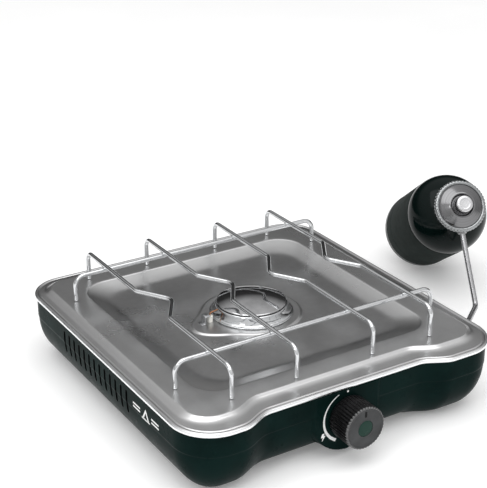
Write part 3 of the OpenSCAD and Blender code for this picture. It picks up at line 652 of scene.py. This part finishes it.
def rod_mesh(points, radii, rod_r, sides=24, steps=12, dome=True):
    """A round rod through the points, bent to each radius, with eased ends."""
    p = [Vector(q) for q in points]
    path = [(p[0], (p[1] - p[0]).normalized())]
    for i in range(1, len(p) - 1):
        u, v = (p[i] - p[i - 1]).normalized(), (p[i + 1] - p[i]).normalized()
        side = (v - u * u.dot(v)).normalized()
        turn = u.angle(v)
        r = radii[i - 1]
        c = p[i] - u * r * math.tan(turn / 2) + side * r
        for k in range(steps + 1):
            a = turn * k / steps
            path.append((c + r * (u * math.sin(a) - side * math.cos(a)),
                         u * math.cos(a) + side * math.sin(a)))
    path.append((p[-1], (p[-1] - p[-2]).normalized()))
    first = path[0][1]
    m = Vector((1, 0, 0)) if abs(first.z) > 0.7 else Vector((0, 0, 1))
    m = first.cross(m)
    rings, last = [], len(path) - 1
    ends = [(0.0, 0.55), (0.12, 0.8), (0.35, 0.96), (0.7, 1.0)] if dome else [(0.0, 1.0)]
    for i, (q, t) in enumerate(path):
        m = (m - t * t.dot(m)).normalized()
        b = t.cross(m)
        spots = [(q, 1.0)]
        if i == 0:
            spots = [(q + t * rod_r * a, k) for a, k in ends]
        if i == last:
            spots = [(q - t * rod_r * a, k) for a, k in reversed(ends)]
        for centre, k in spots:
            rings.append([tuple(centre + rod_r * k * (m * math.cos(2 * math.pi * s / sides)
                                                      + b * math.sin(2 * math.pi * s / sides)))
                          for s in range(sides)])
    return skin(rings)


def weld(x, y):
    """The bulge where a long wire is welded to a cross wire."""
    rings = []
    for a in (math.radians(-80 + 20 * i) for i in range(9)):
        rings.append([(x + 3.0 * math.cos(a) * math.cos(b), y + 3.0 * math.cos(a) * math.sin(b),
                       115.0 + 1.5 * math.sin(a)) for b in spread(0, 2 * math.pi * 19 / 20, 20)])
    return skin(rings)


def build_grate():
    foot, half, cross = LAND_Z + 0.3, WIRE_HALF, CROSS_HALF
    for name, x, k in (("grate_bar_left", -WIRE_OUT, KINK), ("grate_bar_mid_left", -WIRE_IN, KINK),
                       ("grate_bar_mid_right", WIRE_IN, -KINK), ("grate_bar_right", WIRE_OUT, -KINK)):
        verts, faces = rod_mesh([(x, -half, foot), (x, -half, BAR_Z), (x, -KINK_REACH, BAR_Z),
                                 (x + k, 0, BAR_Z), (x, KINK_REACH, BAR_Z), (x, half, BAR_Z),
                                 (x, half, foot)], [10, 8, 12, 8, 10], WIRE_R)
        piece(name.replace("grate_bar", "wire_long"), verts, faces, "grate", [CHROME], [name],
              sharp=60)
    for name, y in (("grate_cross_front", -CROSS_Y), ("grate_cross_back", CROSS_Y)):
        verts, faces = rod_mesh([(-cross, y, foot), (-cross, y, CROSS_Z), (cross, y, CROSS_Z),
                                 (cross, y, foot)], [12, 12], WIRE_R)
        piece(name.replace("grate_cross", "wire_cross"), verts, faces, "grate", [CHROME], [name],
              sharp=60)
    for x in (-WIRE_OUT, -WIRE_IN, WIRE_IN, WIRE_OUT):
        for y in (-CROSS_Y, CROSS_Y):
            verts, faces = weld(x, y)
            piece(f"weld_{x}_{y}".replace("-", "m"), verts, faces, "grate", [CHROME], sharp=60)


# ---------- knob ----------


def build_knob():
    r, n = KNOB_R, KNOB_LEN
    side = [(r - 3.4, 0.0), (r - 1.0, 0.0), (r - 0.5, 0.25), (r - 0.2, 0.8), (r, 1.6), (r, n - 2.2),
            (r - 0.15, n - 1.2), (r - 0.55, n - 0.5), (r - 1.1, n - 0.12), (r - 1.7, n)]
    face = [(r - 2.0, n), (r - 3.2, n), (r - 3.5, n - 0.15), (r - 3.8, n - 0.45), (r - 4.2, n - 0.5),
            (10.2, n - 0.5), (9.7, n - 0.4), (9.3, n - 0.1), (9.0, n - 0.05), (8.7, n - 0.3),
            (INSERT_R, n - 1.1)]
    profile = side + face
    count, around = len(side), 12 * KNOB_RIBS

    def ribs(radius, a, k):
        if k >= count or k == 0:
            return radius
        v = abs(math.sin(KNOB_RIBS / 2 * a))
        depth = 0.95 * (1 - v ** 0.8) * min(1.0, k / 3)
        return radius - depth

    def zone(row):
        """0 for the ribbed side, 2 for the ribs' front ends, lighter in colour as a painted highlight and
        glossier, and 1 for the face.
        """
        if row >= len(profile) - 1:            # the closed back
            return 0
        return 1 if row >= count - 1 else 2 if row >= count - 5 else 0

    verts, faces = skin(lathe(profile, around, ribs), caps=(True, False))
    zones = [zone(i // around) for i in range(len(faces))]
    piece("knob_shell", verts, faces, "knob", [KNOB_SIDE, KNOB_FACE, KNOB_EDGE_HIGHLIGHT], ["knob_body"],
          zones, 34, ON_KNOB)
    insert = [(8.62, n - 1.2), (8.55, n - 0.55), (8.3, n - 0.35), (7.6, n - 0.28), (4, n - 0.12),
              (0.01, n - 0.08)]
    verts, faces = skin(lathe(insert, 96), caps=(False, False))
    piece("knob_badge", verts, faces, "knob", [INSERT], ["knob_insert"], place=ON_KNOB)
    # painted shade: the pointer notch is not cut; a near-black patch on the face stands in for its dark
    # hollow
    notch = [(-1.1, 12.4), (1.1, 12.4), (1.35, 15.2), (1.1, 18.6), (-1.1, 18.6), (-1.35, 15.2)]
    verts, faces = skin([[(x, y, n + h) for x, y in notch] for h in (-0.6, -0.36)])
    piece("knob_pointer", verts, faces, "knob", [POINTER], place=ON_KNOB, sharp=25)


# ---------- regulator and cylinder ----------


def crimp_mark(a):
    """One of the crimping tool's marks, at an angle round the ring."""
    x, y, z = 28.2 * math.cos(a), 28.2 * math.sin(a), 59.86
    rows = [[(x + q * math.cos(b), y + q * math.sin(b), z + h) for b in spread(0, 5.7, 10)]
            for q, h in ((0.75, 0), (0.62, 0.22), (0.3, 0.34))]
    return skin(rows, caps=(False, True))


def build_regulator():
    v = (Vector(PIPE_LOW) - Vector(PIPE_TOP)).normalized()
    start = Vector(PIPE_TOP) + v * 20
    verts, faces = rod_mesh([start, PIPE_LOW, PIPE_OUT, PIPE_END], [9, 12], PIPE_R, 32, 16, dome=False)
    piece("pipe_bent", verts, faces, "regulator", [PIPE], ["outlet_pipe"], sharp=60)

    base = rounded([(12.7, 41), (17, 41), (17, 47), (27, 47), (28.4, 52.6), (28.4, 57), (22, 57)], 1.0)
    verts, faces = skin(lathe(base, 128), caps=(False, False))
    shell = piece("regulator_shell", verts, faces, "regulator", [BASE], place=ON_BOTTLE)
    z = v.normalized()
    x = z.orthogonal().normalized()
    along = Matrix.Translation(PIPE_TOP) @ Matrix((x, z.cross(x), z)).transposed().to_4x4()
    boss = rounded([(3.3, 15), (5.5, 16), (5.5, 31), (4.6, 32), (3.24, 32)], 0.6)
    verts, faces = skin(lathe(boss, 64), caps=(False, False))
    piece("pipe_boss", verts, faces, "regulator", [BASE], place=along)
    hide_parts("regulator_base")

    edge = rounded([(28.3, 52.8), (30.5, 52.8), (CRIMP_R, 53.8), (CRIMP_R, 57.6), (30.9, 59.0), (29.4, 59.9),
                    (27.4, 59.9), (26.5, 59.3), (26.5, 58.4)], 0.7, 4)

    def knurl(radius, a, k):
        return radius - (0.7 * (0.5 + 0.5 * math.cos(CRIMP_TEETH * a)) if radius > 29.2 else 0.0)

    verts, faces = skin(lathe(edge, 10 * CRIMP_TEETH, knurl), caps=(False, False))
    piece("crimp_knurl", verts, faces, "regulator", [CRIMP], ["crimp_ring"],
          sharp=50, place=ON_BOTTLE)
    verts, faces = joined(crimp_mark(2 * math.pi * i / CRIMP_MARKS) for i in range(CRIMP_MARKS))
    piece("crimp_beads", verts, faces, "regulator", [CRIMP], place=ON_BOTTLE, sharp=50)

    cover = rounded([(26.9, 58.6), (25.8, 59.8), (24.8, 60.7), (15.2, 66.4), (13.6, 66.5), (12.7, 64.6),
                     (12.2, 62.4), (10.2, 62.0)], 0.9, 5)
    verts, faces = skin(lathe(cover, 160), caps=(False, False))
    piece("cover_cone", verts, faces, "regulator", [COVER], ["regulator_cover"],
          sharp=50, place=ON_BOTTLE)
    button = rounded([(10.0, 61.9), (10.0, 75.6), (9.0, 76.9), (6.2, 77.0), (5.8, 76.85),
                      (0.01, 76.85)], 0.7, 5)
    verts, faces = skin(lathe(button, 128), caps=(False, False))
    piece("cap_button", verts, faces, "regulator", [BUTTON], ["regulator_cap"],
          sharp=40, place=ON_BOTTLE)


def build_cylinder():
    r = BOTTLE_R
    dome = [(r - 1.4, -1.6), (r - 0.4, -1.5), (r - 0.08, -1.0)]
    dome += [(r * math.cos(math.radians(a)), DOME_H * math.sin(math.radians(a)))
             for a in spread(0, 74, 34)]
    dome += [(12.9, 40.4), (12.9, 45)]
    verts, faces = skin(lathe(dome, 160), caps=(False, False))
    piece("cylinder_shoulder", verts, faces, "cylinder", [DOME], ["cylinder_dome", "cylinder_body"],
          sharp=40, place=ON_BOTTLE)
    low = -BOTTLE_LEN
    sleeve = [(r - 0.9, low + 15.4), (r - 0.12, low + 15.6), (r - 0.08, low + 16.2),
              (r - 0.08, low + 30.6), (r - 0.3, low + 30.9), (r - 0.3, low + 31.3),
              (r - 0.08, low + 31.6), (r - 0.08, -4.6), (r - 0.16, -4.1), (r - 0.9, -3.9)]
    verts, faces = skin(lathe(sleeve, 160), caps=(False, False))
    piece("cylinder_wrap", verts, faces, "cylinder", [SLEEVE], ["cylinder_sleeve"],
          sharp=30, place=ON_BOTTLE)
    # painted shade: a near-black ring in the seam between sleeve and dome stands in for the dark groove
    neck = [(r - 0.95, -4.2), (r - 0.9, -3.0), (r - 1.4, -1.5)]
    verts, faces = skin(lathe(neck, 160), caps=(False, False))
    piece("cylinder_seam", verts, faces, "cylinder", [SHADE], place=ON_BOTTLE)
    cup = rounded([(0.01, low + 3.2), (30, low + 2.4), (38, low + 1.4), (41, low), (46.8, low),
                   (49.2, low + 2.6), (49.2, low + 11.8), (48.7, low + 12.6), (48.1, low + 12.9),
                   (48.1, low + 13.7), (48.8, low + 14.1), (48.9, low + 14.9), (48.2, low + 15.5)],
                  1.2, 5)
    verts, faces = skin(lathe(cup, 160), caps=(False, False))
    piece("cylinder_cup", verts, faces, "cylinder", [FOOT], ["cylinder_foot"],
          sharp=40, place=ON_BOTTLE)


# ---------- materials of the CAD nodes that stay ----------
KEPT = {
    "black_rubber": RUBBER, "pan_steel": PAN, "burner_chrome": SKIRT, "cap_enamel": CAP,
    "burner_aluminium": ALLOY, "plated_steel": STEEL, "igniter_ceramic": CERAMIC,
    "electrode_wire": COPPER, "igniter_plastic": PLASTIC, "valve_brass": BRASS,
    "knob_plastic": KNOB_SIDE, "insert_plastic": INSERT, "grate_chrome": CHROME,
    "pipe_steel": PIPE, "regulator_steel": BASE, "cap_bright": BUTTON, "dome_paint": DOME,
    "sleeve_print": SLEEVE, "foot_plastic": FOOT, "tub_enamel": TUB,
}


def finish_cad_nodes():
    for part in frame["record"]["subparts"]:
        ob = frame["nodes"][part["node"]]
        for s in ob.material_slots:
            s.material = KEPT[part["material_slot"]]


# ---------- studio ----------


def build_floor():
    me = bpy.data.meshes.new("studio_floor")
    half = 30
    me.from_pydata([(-half, -half, 0), (half, -half, 0), (half, half, 0), (-half, half, 0)], [],
                   [(0, 1, 2, 3)])
    floor = place_object("studio_floor", me)
    s = Shader("floor_white", (0.94, 0.94, 0.94), 0.7, spec=0.2)
    s.tint(s.noise(3, 3), (0.91, 0.91, 0.91))
    s.bsdf.inputs["Emission Color"].default_value = (1, 1, 1, 1)
    s.bsdf.inputs["Emission Strength"].default_value = 0.14
    me.materials.append(s.mat)


def build_sky():
    """A grey gradient along one tilted direction: dim low at the back, bright above and in front."""
    world = bpy.data.worlds.new("studio")
    world.use_nodes = True
    tree = world.node_tree
    back = tree.nodes["Background"]
    back.inputs[1].default_value = 1.0
    spot, tilt = tree.nodes.new("ShaderNodeTexCoord"), tree.nodes.new("ShaderNodeVectorMath")
    shift, ramp = tree.nodes.new("ShaderNodeMath"), tree.nodes.new("ShaderNodeValToRGB")
    tilt.operation, shift.operation = "DOT_PRODUCT", "ADD"
    tilt.inputs[1].default_value = (-0.12, -0.333, 0.667)
    shift.inputs[1].default_value = 0.333
    steps = ((0.0, 0.01), (0.31, 0.05), (0.42, 0.34), (0.5, 0.55), (0.733, 0.80), (1.0, 0.95))
    while len(ramp.color_ramp.elements) < len(steps):
        ramp.color_ramp.elements.new(0.5)
    for stop, (at, level) in zip(ramp.color_ramp.elements, steps):
        stop.position, stop.color = at, (level, level, level, 1)
    tree.links.new(spot.outputs["Generated"], tilt.inputs[0])
    tree.links.new(tilt.outputs["Value"], shift.inputs[0])
    tree.links.new(shift.outputs[0], ramp.inputs[0])
    tree.links.new(ramp.outputs[0], back.inputs[0])
    bpy.context.scene.world = world
    bpy.context.scene.view_settings.view_transform = "Standard"


def lamp(name, at, aim, size, power):
    data = bpy.data.lights.new(name, "AREA")
    data.shape, data.size, data.size_y = "RECTANGLE", size[0], size[1]
    data.energy = power
    ob = place_object(name, data)
    ob.location = at
    ob.rotation_euler = (Vector(aim) - Vector(at)).to_track_quat("-Z", "Y").to_euler()


def build_camera():
    data = bpy.data.cameras.new("camera")
    data.lens, data.sensor_width = 92.25, 36.0
    cam = place_object("camera", data)
    right, up = Vector((0.85003, -0.52674, 0.0)), Vector((0.21136, 0.34108, 0.91597))
    ahead = Vector((0.48248, 0.77860, -0.40125))
    turn = Matrix((right, up, -ahead)).transposed().to_4x4()
    cam.matrix_world = Matrix.Translation((-0.6494, -1.0318, 0.6917)) @ turn
    bpy.context.scene.camera = cam


def build_studio():
    build_floor()
    build_sky()
    lamp("overhead", (-0.4, -0.6, 2.4), (0.0, -0.2, 0), (3.2, 2.4), 40)
    lamp("key", (-1.5, -0.9, 1.3), (0, -0.1, 0.06), (0.35, 0.35), 4)
    build_camera()


build_studio()
build_pan()
build_tub()
build_marks()
build_burner()
build_guard()
build_grate()
build_knob()
build_regulator()
build_cylinder()
finish_cad_nodes()
